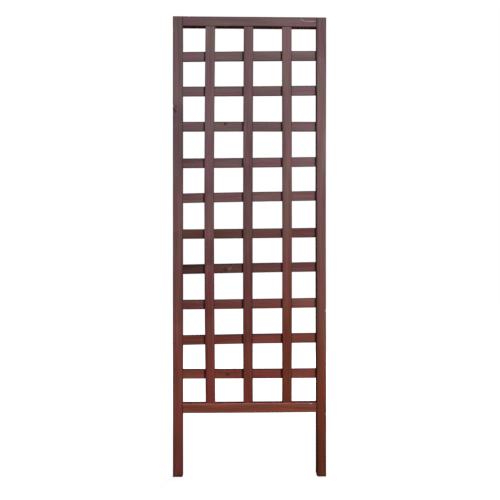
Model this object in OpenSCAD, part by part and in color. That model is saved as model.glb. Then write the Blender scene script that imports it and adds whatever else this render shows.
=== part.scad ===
// Framed wooden trellis panel on two legs.
// X runs across the panel, -Y is the front, +Z is up. The origin lies on the ground, midway between the legs.

/* [Panel] */
// Outside width, over both stiles
panel_w = 600; // [450:10:900]
// Full height, from the ends of the legs to the top
panel_h = 1800; // [1200:10:2100]
// Free length of the legs, from the ground to the underside of the bottom rail
leg_h = 250; // [100:5:400]
// Depth of the frame boards, front to back
frame_d = 38; // [27:1:45]

/* [Frame boards] */
// Width of each stile, seen from the front
stile_w = 38; // [30:1:60]
// Height of each rail, seen from the front
rail_w = 38; // [30:1:60]
// Radius on the long edges of the frame boards
frame_edge_r = 2; // [1:0.5:5]

/* [Upright slats] */
// Number of upright slats
upright_count = 3; // [1:1:5]
// Width of an upright slat
upright_w = 38; // [25:1:50]
// Thickness of an upright slat
upright_t = 10; // [8:0.5:13]
// Sideways offset of the whole set of uprights from the middle of the panel
upright_shift = -5; // [-20:1:20]
// Step from the front of the frame back to the front of the uprights
upright_recess = 2; // [1:0.5:5]

/* [Cross slats] */
// Number of cross slats
cross_count = 10; // [4:1:12]
// Width of a cross slat
cross_w = 38; // [25:1:50]
// Thickness of a cross slat
cross_t = 10; // [8:0.5:13]
// Gap between a rail and the cross slat nearest to it
end_gap = 94; // [80:1:120]
// Radius on the long edges of both kinds of slat
slat_edge_r = 1; // [0.5:0.25:3]

/* [Grooves and tongues] */
// Depth of the grooves in the stiles and the rails
groove_depth = 8; // [5:0.5:12]
// Room between a slat and each wall of its groove
groove_play = 0.2; // [0.1:0.05:0.5]
// Room between the end of a slat and the bottom of its groove
end_play = 0.5; // [0.25:0.25:2]
// Length that a stile's groove runs on past the outermost cross slats
groove_run = 8; // [4:1:30]
// Thickness of the tongue at each end of an upright
tongue_t = 6; // [4:0.5:7]

/* [Screws] */
// Diameter of a screw's shank
screw_d = 4.5; // [3.5:0.5:6]
// Length of a screw, from the top of its head to its point
screw_l = 80; // [65:5:110]
// Length of the tapered point
screw_point_l = 7; // [4:1:12]
// Diameter of a screw's countersunk head
screw_head_d = 9; // [8:0.5:11]
// Depth of the head below the side of the stile
screw_sink = 0.5; // [0.25:0.25:2]
// Distance between the two screws of a joint, front to back
screw_step_y = 12; // [10:1:16]
// Distance between the two screws of a joint, up and down
screw_step_z = 8; // [0:1:12]
// Width of a wing of the cross recess in the head
drive_w = 0.9; // [0.6:0.1:1.2]
// Span of the cross recess
drive_span = 4.6; // [3.5:0.1:5.5]
// Depth of the cross recess
drive_depth = 1.8; // [1:0.2:2.2]

/* [Staples] */
// Width of a staple over its two legs
staple_crown = 12; // [8:0.5:18]
// Thickness of the square staple wire
staple_wire = 1.2; // [0.8:0.1:1.6]
// Depth that the legs bite into the upright behind which they sit
staple_bite = 7; // [4:0.5:7]
// Turn of the crown, so that the two legs miss the same line of grain
staple_turn = 45; // [0:5:90]
// Room between a screw or staple leg and the wood round it
fastener_play = 0.05; // [0.02:0.01:0.2]

/* [Hidden] */
// Facets on round shapes
$fn = 48;
// Distance that a cut runs past the face that it opens
overrun = 1;
// Stain on the frame boards, the uprights and the cross slats, and the zinc on the fasteners
frame_stain = [0.40, 0.24, 0.21];
upright_stain = [0.42, 0.26, 0.23];
cross_stain = [0.36, 0.22, 0.20];
zinc = [0.72, 0.73, 0.74];

// Faces of the frame
front_y = -frame_d / 2;
inner_x = panel_w / 2 - stile_w;
stile_x = panel_w / 2 - stile_w / 2;
rail_l = 2 * inner_x;
sill_z = leg_h + rail_w;
lintel_z = panel_h - rail_w;
clear_h = lintel_z - sill_z;

// Two layers of the lattice, uprights in front of cross slats
upright_y = front_y + upright_recess + upright_t / 2;
lap_y = upright_y + upright_t / 2;
cross_y = lap_y + cross_t / 2;
back_y = lap_y + cross_t;

// Reach of the slats into their grooves
tongue_l = groove_depth - end_play;
upright_l = clear_h + 2 * tongue_l;
cross_l = rail_l + 2 * tongue_l;
shoulder_t = upright_t - tongue_t;
cross_groove_w = cross_t + 2 * groove_play;
tongue_groove_w = tongue_t + 2 * groove_play;
tongue_y = lap_y - tongue_t / 2;

// Spacing: uprights evenly over the outside width, cross slats evenly between the two end gaps
upright_pitch = panel_w / (upright_count + 1);
cross_gap = (clear_h - 2 * end_gap - cross_count * cross_w) / (cross_count - 1);
cross_pitch = cross_gap + cross_w;
uprights = [1:upright_count];
crossings = [1:cross_count];
sides = [-1, 1];

function upright_x(i) = upright_shift + (i - (upright_count + 1) / 2) * upright_pitch;
function cross_z(j) = sill_z + end_gap + cross_w / 2 + (j - 1) * cross_pitch;

// Screws sit in the part of the rail that its groove leaves whole
screw_rise = (rail_w + groove_depth) / 2;
top_screw_z = lintel_z + screw_rise;
bottom_screw_z = sill_z - screw_rise;
screw_head_h = (screw_head_d - screw_d) / 2;
screw_bite = screw_l + screw_sink - stile_w;
staple_leg = cross_t + staple_bite;

// Names of the repeated pieces
function two_digits(n) = n < 10 ? str("0", n) : str(n);
function upright_name(i) = str("upright_slat_", i);
function cross_name(j) = str("cross_slat_", two_digits(j));
function staples_name(i) = str("crossing_staples_", i);

// Section of a planed board, width along X and thickness along Y, with its four long edges rounded
module board_section(width, thickness, edge_r) {
    square([width - 2 * edge_r, thickness], center = true);
    square([width, thickness - 2 * edge_r], center = true);
    for (sx = sides, sy = sides)
        translate([sx * (width / 2 - edge_r), sy * (thickness / 2 - edge_r)])
            circle(edge_r);
}

// Board that stands upright, on the ground plane
module standing_board(width, thickness, length, edge_r) {
    linear_extrude(length)
        board_section(width, thickness, edge_r);
}

// Board that lies across the panel, centred
module lying_board(width, thickness, length, edge_r) {
    rotate([0, 90, 0])
        linear_extrude(length, center = true)
            board_section(width, thickness, edge_r);
}

// Screw with its head's top at the origin, pointing along +X
module screw() {
    head_r = screw_head_d / 2;
    shank_r = screw_d / 2;
    difference() {
        rotate([0, 90, 0])
            rotate_extrude()
                polygon([
                    [0, 0],
                    [head_r, 0],
                    [shank_r, screw_head_h],
                    [shank_r, screw_l - screw_point_l],
                    [0, screw_l]
                ]);
        for (quarter = [0, 90])
            rotate([quarter, 0, 0])
                translate([-overrun, -drive_w / 2, -drive_span / 2])
                    cube([drive_depth + overrun, drive_w, drive_span]);
    }
}

// Hole that takes a screw: sunk seat for the head, then the shank
module screw_hole() {
    head_r = screw_head_d / 2 + fastener_play;
    shank_r = screw_d / 2 + fastener_play;
    rotate([0, 90, 0]) {
        translate([0, 0, -screw_sink - overrun])
            cylinder(h = screw_sink + overrun, r = head_r);
        cylinder(h = screw_head_h, r1 = head_r, r2 = shank_r);
        cylinder(h = screw_l + end_play, r = shank_r);
    }
}

// Places the two screws of one corner joint, side -1 on the left and 1 on the right
module at_corner_screws(side, height) {
    for (k = sides)
        translate([side * (panel_w / 2 - screw_sink), k * screw_step_y / 2, height + k * screw_step_z / 2])
            rotate([0, 0, side > 0 ? 180 : 0])
                children();
}

// Places a staple at one crossing, with its crown on the back of the cross slat
module at_crossing(i, j) {
    translate([upright_x(i), back_y, cross_z(j)])
        rotate([0, staple_turn, 0])
            children();
}

// The two legs of a staple, widened by some room
module staple_legs(room) {
    side_w = staple_wire + 2 * room;
    for (s = sides)
        translate([s * (staple_crown - staple_wire) / 2 - side_w / 2, -staple_leg - room, -side_w / 2])
            cube([side_w, staple_leg + room, side_w]);
}

// Staple driven home: a straight crown over two legs
module staple() {
    staple_legs(0);
    translate([-staple_crown / 2, 0, -staple_wire / 2])
        cube([staple_crown, staple_wire, staple_wire]);
}

// Groove with rounded ends, cut into the face of a stile that looks along +X
module stile_groove() {
    groove_low = cross_z(1) - cross_w / 2 - groove_run;
    groove_high = cross_z(cross_count) + cross_w / 2 + groove_run;
    translate([-groove_depth, cross_y, 0])
        rotate([90, 0, 90])
            linear_extrude(groove_depth + overrun) {
                translate([-cross_groove_w / 2, groove_low])
                    square([cross_groove_w, groove_high - groove_low]);
                for (z = [groove_low, groove_high])
                    translate([0, z])
                        circle(cross_groove_w / 2);
            }
}

// Groove along the whole inner edge of a rail, cut into the face that looks along +Z
module rail_groove() {
    translate([-rail_l / 2 - overrun, tongue_y - tongue_groove_w / 2, -groove_depth])
        cube([rail_l + 2 * overrun, tongue_groove_w, groove_depth + overrun]);
}

// Stile on one side of the panel, grooved for the cross slats and drilled for the rails' screws
module stile(side) {
    color(frame_stain)
        difference() {
            translate([side * stile_x, 0, 0])
                standing_board(stile_w, frame_d, panel_h, frame_edge_r);
            mirror([side > 0 ? 1 : 0, 0, 0])
                translate([-inner_x, 0, 0])
                    stile_groove();
            for (z = [bottom_screw_z, top_screw_z])
                at_corner_screws(side, z)
                    screw_hole();
        }
}

// Rail with its grooved edge up or down, drilled at both ends
module rail(centre_z, groove_z, screw_z, groove_up) {
    color(frame_stain)
        difference() {
            translate([0, 0, centre_z])
                lying_board(rail_w, frame_d, rail_l, frame_edge_r);
            translate([0, 0, groove_z])
                mirror([0, 0, groove_up ? 0 : 1])
                    rail_groove();
            for (side = sides)
                at_corner_screws(side, screw_z)
                    screw_hole();
        }
}

// Upright slat, with a tongue at each end behind a front shoulder
module upright_slat(i) {
    color(upright_stain)
        difference() {
            translate([upright_x(i), upright_y, sill_z - tongue_l])
                standing_board(upright_w, upright_t, upright_l, slat_edge_r);
            for (z = [sill_z - tongue_l - overrun, lintel_z])
                translate([upright_x(i) - upright_w / 2 - overrun, front_y + upright_recess - overrun, z])
                    cube([upright_w + 2 * overrun, shoulder_t + overrun, tongue_l + overrun]);
            for (j = crossings)
                at_crossing(i, j)
                    staple_legs(fastener_play);
        }
}

// Cross slat, plain at both ends, slotted where the staples pass
module cross_slat(j) {
    color(cross_stain)
        difference() {
            translate([0, cross_y, cross_z(j)])
                lying_board(cross_w, cross_t, cross_l, slat_edge_r);
            for (i = uprights)
                at_crossing(i, j)
                    staple_legs(fastener_play);
        }
}

// Four screws of one rail
module rail_screws(screw_z) {
    color(zinc)
        for (side = sides)
            at_corner_screws(side, screw_z)
                screw();
}

// Staples down the back of one upright
module crossing_staples(i) {
    color(zinc)
        for (j = crossings)
            at_crossing(i, j)
                staple();
}

stile(-1);  // left_stile
stile(1);  // right_stile
rail(lintel_z + rail_w / 2, lintel_z, top_screw_z, false);  // top_rail
rail(sill_z - rail_w / 2, sill_z, bottom_screw_z, true);  // bottom_rail
for (i = uprights) upright_slat(i);
for (j = crossings) cross_slat(j);
rail_screws(top_screw_z);  // top_rail_screws
rail_screws(bottom_screw_z);  // bottom_rail_screws
for (i = uprights) crossing_staples(i);
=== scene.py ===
"""Dressed model of a framed wooden trellis panel: stained boards, screws, staples and a plain studio."""

import logging
import math
import random
from dataclasses import dataclass
from enum import Enum
from typing import Iterable, Sequence

import bmesh
import bpy
from mathutils import Matrix, Vector, noise


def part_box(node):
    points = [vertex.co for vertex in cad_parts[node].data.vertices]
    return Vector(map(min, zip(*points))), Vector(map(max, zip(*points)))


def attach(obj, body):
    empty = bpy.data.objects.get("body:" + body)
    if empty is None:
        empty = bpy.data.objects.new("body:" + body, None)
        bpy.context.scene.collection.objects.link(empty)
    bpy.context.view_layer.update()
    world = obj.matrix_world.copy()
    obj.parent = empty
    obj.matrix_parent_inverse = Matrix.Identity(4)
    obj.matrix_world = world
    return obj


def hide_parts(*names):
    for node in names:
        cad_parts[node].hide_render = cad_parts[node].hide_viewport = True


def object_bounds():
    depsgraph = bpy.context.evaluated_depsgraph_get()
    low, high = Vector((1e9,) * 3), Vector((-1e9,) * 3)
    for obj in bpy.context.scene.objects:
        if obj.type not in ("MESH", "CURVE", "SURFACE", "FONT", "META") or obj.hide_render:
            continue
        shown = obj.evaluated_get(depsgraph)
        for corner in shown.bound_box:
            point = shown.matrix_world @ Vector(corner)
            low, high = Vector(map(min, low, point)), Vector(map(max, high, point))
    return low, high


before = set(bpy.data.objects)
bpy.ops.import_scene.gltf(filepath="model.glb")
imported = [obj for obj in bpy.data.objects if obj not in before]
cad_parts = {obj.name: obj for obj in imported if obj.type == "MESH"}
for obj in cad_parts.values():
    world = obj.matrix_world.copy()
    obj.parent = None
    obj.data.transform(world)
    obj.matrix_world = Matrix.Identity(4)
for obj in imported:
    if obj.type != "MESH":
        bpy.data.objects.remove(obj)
CAD_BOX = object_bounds()

LOG = logging.getLogger("trellis")

Socket = bpy.types.NodeSocket
Signal = float | Socket
Colour = tuple[float, float, float, float]
Span = tuple[float, float]
Shape = bmesh.types.BMesh
Vert, Edge, Face = bmesh.types.BMVert, bmesh.types.BMEdge, bmesh.types.BMFace
Piece = bpy.types.Object

MM = 0.001
NEAR = 1e-6
CUT_REACH = 1e-7
FAR = 1.0
QUARTER_TURN = math.radians(90)
SHARP_ANGLE = math.radians(34)
X, Y, Z = 0, 1, 2
AXES = (Vector((1, 0, 0)), Vector((0, 1, 0)), Vector((0, 0, 1)))
WHITE = (1.0, 1.0, 1.0, 1.0)
BODY = "root"
UPRIGHT_COUNT = 3
CROSS_COUNT = 10
HEAD_RADIUS = 4.5 * MM
TONGUE = 6.0 * MM


def stain_colour(red: int, green: int, blue: int) -> Colour:
    """Turns a colour as a painter would pick it into the renderer's linear light.

    Args:
        red: Red from 0 to 255.
        green: Green from 0 to 255.
        blue: Blue from 0 to 255.

    Returns:
        Linear red, green, blue and full cover.
    """
    parts = (value / 255 for value in (red, green, blue))
    lit = [part / 12.92 if part <= 0.04045 else ((part + 0.055) / 1.055) ** 2.4 for part in parts]
    return (*lit, 1.0)


class Side(Enum):
    """Side of the panel, seen from the front."""

    LEFT = -1
    RIGHT = 1


class Grain(Enum):
    """Way that a board's grain runs, as its length axis and its width axis."""

    UP = (Z, X)
    ACROSS = (X, Z)

    @property
    def along(self) -> int:
        """Axis that the board's length lies on."""
        return self.value[0]

    @property
    def across(self) -> int:
        """Axis that the board's width lies on."""
        return self.value[1]


class Tone(Enum):
    """Shade that one board took from the stain: grey at the top, partly weathering and partly a painted
    sheen, and red near the ground.
    """

    PLUM = (stain_colour(108, 84, 88), stain_colour(107, 44, 38))
    UMBER = (stain_colour(103, 78, 82), stain_colour(104, 46, 37))
    MAROON = (stain_colour(103, 80, 84), stain_colour(116, 57, 50))
    RUSSET = (stain_colour(114, 86, 84), stain_colour(117, 56, 46))
    AMBER = (stain_colour(114, 88, 84), stain_colour(118, 61, 48))
    OLIVE = (stain_colour(111, 86, 87), stain_colour(103, 47, 32))
    SOOT = (stain_colour(86, 60, 59), stain_colour(86, 39, 31))

    @property
    def weathered(self) -> Colour:
        """Colour at the top of the panel: weathered grey with a painted sheen in it."""
        return self.value[0]

    @property
    def fresh(self) -> Colour:
        """Colour at the foot of the panel."""
        return self.value[1]


@dataclass(frozen=True)
class Knot:
    """Knot in a board.

    Attributes:
        run: Place along the board, in the panel's frame.
        offset: Place across the board, from its middle line.
        radius: Radius of the dark core.
        depth: How dark it is.
    """

    run: float
    offset: float
    radius: float
    depth: float = 1.0


@dataclass(frozen=True)
class Scuff:
    """Bundle of fine pale scratches on the front of a board.

    Attributes:
        start: Place of one end, along the board in the panel's frame and across it from its middle line.
        end: Place of the other end, in the same way.
        width: Distance from the bundle's middle to where its last scratch fades.
        depth: How clearly the scratches show.
    """

    start: Span
    end: Span
    width: float = 2.0 * MM
    depth: float = 1.0


@dataclass(frozen=True)
class Lap:
    """Stretch of a board where two coats of stain lie on each other.

    Attributes:
        start: Place along the board where it starts, in the panel's frame.
        end: Place where it ends.
        depth: How much darker it is, below 0 where the stain is rubbed thin instead.
    """

    start: float
    end: float
    depth: float


@dataclass(frozen=True)
class Nick:
    """Dent in a long edge of a board.

    Attributes:
        run: Place along the board, in the panel's frame.
        edge: Which long edge, as the sign of its width side and of its thickness side.
        length: Length of the dent along the edge.
        depth: Depth of the dent.
    """

    run: float
    edge: tuple[int, int]
    length: float = 14 * MM
    depth: float = 1.8 * MM


@dataclass(frozen=True)
class Box:
    """Space that a board fills, from its lowest to its highest corner."""

    low: Vector
    high: Vector

    @classmethod
    def of(cls, node: str) -> "Box":
        """Reads a node's box from the frame."""
        low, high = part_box(node)
        return cls(Vector(low), Vector(high))

    @property
    def centre(self) -> Vector:
        """Middle of the box."""
        return (self.low + self.high) / 2

    @property
    def size(self) -> Vector:
        """Sides of the box."""
        return self.high - self.low


@dataclass(frozen=True)
class Cloud:
    """Noise that changes at its own pace along each axis.

    Attributes:
        pace: Changes in a metre, along each axis.
        stride: How far apart in the noise two pieces with seeds next to each other lie.
        start: How far this noise lies from others of the same stride.
        detail: Levels of finer noise.
    """

    pace: tuple[float, float, float]
    stride: float = 1.0
    start: float = 0.0
    detail: float = 3.0


class Wiring:
    """Nodes of one material or world, with short calls for the kinds that the finishes use."""

    def __init__(self, owner: bpy.types.Material | bpy.types.World) -> None:
        """Starts with no nodes.

        Args:
            owner: Material or world that they belong to.
        """
        owner.use_nodes = True
        self.owner, self.tree = owner, owner.node_tree
        self.tree.nodes.clear()

    def node(self, kind: str, inputs: dict[str | int, Signal | Sequence[float]] | None = None,
             **settings: str) -> bpy.types.Node:
        """Adds a node.

        Args:
            kind: Kind of node.
            inputs: Signals and fixed values for its sockets, by name or number.
            settings: Its own settings.

        Returns:
            The node.
        """
        node = self.tree.nodes.new(f"ShaderNode{kind}")
        for name, setting in settings.items():
            setattr(node, name, setting)
        for key, signal in (inputs or {}).items():
            self.feed(node.inputs[key], signal)
        return node

    def feed(self, socket: Socket, signal: Signal | Sequence[float]) -> None:
        """Links a signal to a socket, or sets a fixed value on it.

        Args:
            socket: Input to fill.
            signal: Output of another node, or a value.
        """
        if isinstance(signal, Socket):
            self.tree.links.new(signal, socket)
        else:
            socket.default_value = signal

    def maths(self, operation: str, *terms: Signal) -> Socket:
        """Works out one sum from its terms in order."""
        return self.node("Math", dict(enumerate(terms)), operation=operation).outputs[0]

    def chain(self, operation: str, terms: Sequence[Signal]) -> Signal:
        """Works a sum out step by step over any number of signals.

        Args:
            operation: Name of the operation.
            terms: The signals, in order.

        Returns:
            The result.
        """
        result = terms[0]
        for term in terms[1:]:
            result = self.maths(operation, result, term)
        return result

    def total(self, *terms: Signal) -> Signal:
        """Adds any number of signals."""
        return self.chain("ADD", terms)

    def times(self, *terms: Signal) -> Signal:
        """Multiplies any number of signals."""
        return self.chain("MULTIPLY", terms)

    def most(self, *terms: Signal) -> Signal:
        """Takes the greatest of any number of signals."""
        return self.chain("MAXIMUM", terms)

    def less(self, signal: Signal, amount: Signal) -> Socket:
        """Takes an amount away from a signal."""
        return self.maths("SUBTRACT", signal, amount)

    def size(self, signal: Signal) -> Socket:
        """Takes a signal without its sign."""
        return self.maths("ABSOLUTE", signal)

    def line(self, signal: Signal, slope: Signal, start: Signal) -> Socket:
        """Goes up from start by slope for each unit of a signal."""
        return self.maths("MULTIPLY_ADD", signal, slope, start)

    def swing(self, signal: Signal, amount: float) -> Socket:
        """Turns a signal from 0 to 1 into one that swings about 0, by an amount from end to end."""
        return self.line(signal, amount, -amount / 2)

    def hypot(self, first: Signal, second: Signal) -> Socket:
        """Finds the distance that two square steps make together."""
        return self.maths("SQRT", self.total(self.times(first, first), self.times(second, second)))

    def ramp(self, signal: Signal, limits: Sequence[float], kind: str = "LINEAR") -> Socket:
        """Maps a signal from a range to another; the limits are the ends of the first and of the second."""
        ends = dict(zip(("From Min", "From Max", "To Min", "To Max"), limits))
        return self.node("MapRange", {"Value": signal, **ends}, interpolation_type=kind).outputs["Result"]

    def ease(self, signal: Signal, start: float, end: float) -> Socket:
        """Rises smoothly from 0 to 1 as a signal goes from start to end, which may be lower than start."""
        limits = (end, start, 1.0, 0.0) if end < start else (start, end, 0.0, 1.0)
        return self.ramp(signal, limits, "SMOOTHSTEP")

    def vector(self, across: Signal, deep: Signal, along: Signal) -> Socket:
        """Joins three signals into a place."""
        return self.node("CombineXYZ", {X: across, Y: deep, Z: along}).outputs[0]

    def split(self, place: Socket) -> list[Socket]:
        """Takes a place apart into its three signals."""
        return list(self.node("SeparateXYZ", {0: place}).outputs)

    def blend(self, amount: Signal, first: Socket | Colour, second: Socket | Colour) -> Socket:
        """Goes from the first colour to the second as an amount goes from 0 to 1."""
        return self.node("Mix", {0: amount, 6: first, 7: second}, data_type="RGBA").outputs[2]

    def shade(self, colour: Socket, amount: Signal) -> Socket:
        """Makes a colour darker or lighter by a factor."""
        return self.node("VectorMath", {0: colour, "Scale": amount}, operation="SCALE").outputs[0]

    def tint(self, colour: Socket, filter_colour: Socket) -> Socket:
        """Looks at a colour through a coloured filter."""
        return self.node("VectorMath", {0: colour, 1: filter_colour}, operation="MULTIPLY").outputs[0]

    def seen_directly(self) -> Signal:
        """Gives 1 for what the camera sees, straight or in metal, and 0 for what only lights the panel."""
        path = self.node("LightPath").outputs
        return self.most(path["Is Camera Ray"], path["Is Glossy Ray"], path["Is Transmission Ray"])


class Paint(Wiring):
    """Material of a piece, with one shader that its finish feeds."""

    CLOUD_SHIFT = (1.0, 0.37, 1.71)

    def __init__(self, name: str, seed: int) -> None:
        """Starts the material with a bare shader.

        Args:
            name: Name of the material.
            seed: Number that sets this piece's noise apart.
        """
        super().__init__(bpy.data.materials.new(name))
        self.seed = seed
        self.shader = self.node("BsdfPrincipled")
        self.node("OutputMaterial", {"Surface": self.shader.outputs[0]})

    def cloud(self, place: Socket, kind: Cloud) -> Socket:
        """Adds this piece's own noise of one kind.

        Args:
            place: Place to read it at.
            kind: Its pace and detail.

        Returns:
            Noise from 0 to 1, with a mean of 0.5.
        """
        shift = kind.stride * self.seed + kind.start
        start = [share * shift for share in self.CLOUD_SHIFT]
        spot = self.node("Mapping", {"Vector": place, "Location": start, "Scale": kind.pace}).outputs[0]
        return self.node("TexNoise", {"Vector": spot, "Scale": 1.0, "Detail": kind.detail}).outputs[0]

    def coat(self, socket: str, signal: Signal) -> None:
        """Feeds one of the shader's sockets."""
        self.feed(self.shader.inputs[socket], signal)

    def relief(self, height: Signal, distance: float, strength: float) -> None:
        """Gives the surface a fine relief, of which a height of 1 stands for a real distance."""
        bump = self.node("Bump", {"Distance": distance, "Strength": strength, "Height": height})
        self.coat("Normal", bump.outputs[0])


@dataclass(frozen=True)
class Figure:
    """Signals of the wood's own figure, each from 0 to 1.

    Attributes:
        late: Hard dark side of the growth rings.
        fibre: Fine fibres along the grain.
        streak: Broader streaks of stain along the grain.
        blotch: Patches where the wood drank more stain.
    """

    late: Signal
    fibre: Signal
    streak: Signal
    blotch: Signal


@dataclass(frozen=True)
class StainedWood:
    """Thin red-brown stain on planed softwood that has stood outdoors.

    Attributes:
        tone: Shade that the board took.
        seed: Number that sets this board's figure apart.
        strength: Factor on the tone, over 1 for a paler board.
        heart: How much darker the board is at its low or left end than at the other end, partly its own
            tone and partly a painted falloff of the light from the right.
        shelter: How much further up than on other boards the colour stays the red of the foot before it
            turns grey.
        flank: Painted shade: how much darker its left or lower side is than its middle, as the light from
            the right leaves it, near the ground most of all.
        contrast: How boldly rings and streaks show.
        wander: How far the rings stray sideways.
        waves: How often they stray in a metre.
        ring_pitch: Distance between growth rings.
        knots: Knots that show.
        scuffs: Scratches that show.
        laps: Stretches with two coats of stain.
        splash: How much darker the board grows towards the ground.
        damp_foot: Height of the dark band at the foot, above the ground.
        bright_ledge: True where a painted highlight runs along the upper front edge.
    """

    tone: Tone
    seed: int
    strength: float = 1.0
    heart: float = 0.0
    shelter: float = 0.0
    flank: float = 0.0
    contrast: float = 1.0
    wander: float = 8 * MM
    waves: float = 2.2
    ring_pitch: float = 3.2 * MM
    knots: tuple[Knot, ...] = ()
    scuffs: tuple[Scuff, ...] = ()
    laps: tuple[Lap, ...] = ()
    splash: float = 0.0
    damp_foot: float = 0.0
    bright_ledge: bool = False

    def material(self, name: str, box: Box, grain: Grain) -> bpy.types.Material:
        """Makes the stained wood for one board."""
        return BoardStain(name, self, box, grain).build()


class BoardStain(Paint):
    """Wires up one board's stain.

    Places are read on the straight board, so that the figure bends with it. They are signals in metres from
    its middle: along the grain, across the face and deep through the thickness, front to back. Height is in
    metres above the ground. A CLOUD is a noise, its pace given across, deep and along. A SPAN says where
    something starts to show and where it shows in full. A SHADE says how much darker something is, and a
    FRAY how far noise shifts its edge.
    """

    BARE = stain_colour(150, 108, 98)
    SCRATCH = stain_colour(186, 168, 168)
    # Pale colour of the painted highlight on an upper front edge.
    POLISH = stain_colour(166, 98, 98)
    KNOT = stain_colour(46, 22, 22)
    RED_TINT = (1.06, 0.94, 1.02, 1.0)
    OLIVE_TINT = (0.95, 1.07, 0.93, 1.0)

    LATE_SHADE = 0.26
    LATE_LIFT = 0.35
    FIBRE_SHADE = 0.42
    STREAK_SHADE = 0.70
    BLOTCH_SHADE = 0.62
    EDGE_SHADE = 0.58
    # Dirt and painted shade on faces that look up and below the upper edge of cross pieces.
    LEDGE_SHADE = 0.70
    WASHED_SHARE = 0.5
    # Painted shade on faces that look down.
    SHELTER_SHADE = 0.36
    END_SHADE = 0.30
    DAMP_SHADE = 0.62
    DARKEST = 0.12

    PITH_ACROSS = (12, 46)
    PITH_DEEP = (24, 60)
    RING_DRIFT = (0.006, 0.016)
    FIGURE_STRIDE = 3.1
    BEND_PACE, BEND_DETAIL = (9, 9), 1.0
    SEASON_CLOUD = Cloud((110, 1, 0.5), FIGURE_STRIDE, 4.4, 2.0)
    SEASON_SWING = 1.8
    SEASON_SPAN = (0.30, 0.62)
    LATE_SPAN = (0.35, 0.88)
    EARLY_SPAN = (0.90, 1.0)
    FIBRE_CLOUD = Cloud((480, 480, 14), FIGURE_STRIDE, 1.1)
    STREAK_CLOUD = Cloud((92, 92, 3.2), FIGURE_STRIDE, 2.2)
    BLOTCH_CLOUD = Cloud((17, 17, 5.0), FIGURE_STRIDE, 3.3)
    HUE_CLOUD = Cloud((42, 42, 6.5), 9.1)
    HUE_SPAN = (0.36, 0.64)

    # The grey top colour is partly weathering and partly a painted sheen; these set where it shows.
    AGED_SPAN = (0.25, 1.45)
    AGED_BLOTCH = 0.36
    AGED_STREAK = 0.24
    UNDERSIDE_SPAN = (-0.3, -0.8)
    # Undersides keep the darker foot colour, which adds to their painted shade.
    UNDERSIDE_FRESH = 0.9
    SPLASH_SPAN = (0.36, 0.0)
    # Height over which the painted shade on the left side fades out.
    FLANK_SPAN = (2.2, 0.2)
    DAMP_SPAN = (1.6, 0.8)

    RAGGED_CLOUD = Cloud((90, 90, 38), 5.3)
    LAP_FADE = 22 * MM
    SIDE_FRAY, SIDE_SPAN = 2.4 * MM, (5.4 * MM, 1.4 * MM)
    TIP_FRAY, TIP_SPAN = 2.0 * MM, (4.0 * MM, 1.2 * MM)
    WASHED_FRAY, WASHED_SPAN = 3.0 * MM, (6.5 * MM, 2.2 * MM)
    UPWARD_SPAN = (0.35, 0.9)
    CLEAN_SPAN = (1.795, 1.775)
    END_SPAN = (0.6, 0.9)

    RUBBED_CLOUD = Cloud((60, 60, 30), 5.3, 7.7, 4.0)
    RUBBED_SPAN = (0.66, 0.74)
    RUBBED_SHARE = 0.6
    CORNER_SPAN = (1.4 * MM, 0.3 * MM)
    TORN_FRAY, TORN_SPAN = 5.0 * MM, (8.0 * MM, 3.6 * MM)
    TORN_SHARE = 0.8
    POLISH_CLOUD = Cloud((70, 70, 16), 6.1)
    POLISH_FRAY, POLISH_SPAN = 2.0 * MM, (6.0 * MM, 3.0 * MM)
    POLISH_FRONT = (-0.25, -0.75)
    POLISH_PATCH = (0.25, 0.55)
    SCRATCH_CLOUD = Cloud((900, 1, 70), start=8.8)
    SCRATCH_SPAN = (0.36, 0.60)
    SCRATCH_REACH = (1.05, 0.55)
    SCRATCH_FRONT = (-0.5, -0.9)

    KNOT_CLOUD = Cloud((220, 220, 130), start=4.4)
    KNOT_WAVER = 1.9
    KNOT_STRETCH = 0.7
    KNOT_TAPER = 16 * MM
    KNOT_PUSH = 1.6
    BARK_SPAN, BARK_RISE, BARK_START = (0.5, 1.0), 0.22, 0.72
    CORE_SPAN = (1.5, 0.95)
    BULGE_SPAN = (4.5, 1.0)

    ROUGHNESS = 0.60
    ROUGH_FIBRE = 0.16
    ROUGH_SHARES = (0.08, -0.07, 0.15, 0.12)
    SPECULAR = 0.05
    PLANED_SPAN = (0.3, 0.9)
    RELIEF_SHARES = (0.25, 0.60, -0.50)
    RELIEF_KNOT = -0.40
    RELIEF_HEIGHT = 0.36 * MM
    RELIEF_STRENGTH = 0.55

    def __init__(self, name: str, finish: StainedWood, box: Box, grain: Grain) -> None:
        """Starts the material and reads a point's place on the board.

        Args:
            name: Name of the material.
            finish: Stain that the board has.
            box: Space that the board fills.
            grain: Way that its grain runs.
        """
        super().__init__(name, finish.seed)
        self.finish, self.grain = finish, grain
        self.middle, half = box.centre[grain.along], box.size / 2
        self.half_run, self.half_width, self.half_depth = half[grain.along], half[grain.across], half[Y]
        point = self.node("Attribute", attribute_name=Board.STRAIGHT_MARK).outputs["Vector"]
        self.height = self.split(point)[Z]
        parts = self.split(self.node("Mapping", {"Vector": point, "Location": -box.centre}).outputs[0])
        self.along, self.across, self.deep = parts[grain.along], parts[grain.across], parts[Y]
        self.spot = self.vector(self.across, self.deep, self.along)
        self.facing = self.split(self.node("NewGeometry").outputs["Normal"])
        # Faces that look down, which get painted shade and keep the foot colour.
        self.sheltered = self.ease(self.facing[Z], *self.UNDERSIDE_SPAN)
        self.inset = self.most(self.less(self.half_width, self.size(self.across)),
                               self.less(self.half_depth, self.size(self.deep)))
        self.ragged = self.cloud(self.spot, self.RAGGED_CLOUD)

    def past(self, run: float) -> Socket:
        """Measures how far past a place along the board a point lies."""
        return self.less(self.along, run - self.middle)

    def below(self) -> Socket:
        """Measures how far below the board's upper edge a point lies."""
        return self.less(self.half_width, self.across)

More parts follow.
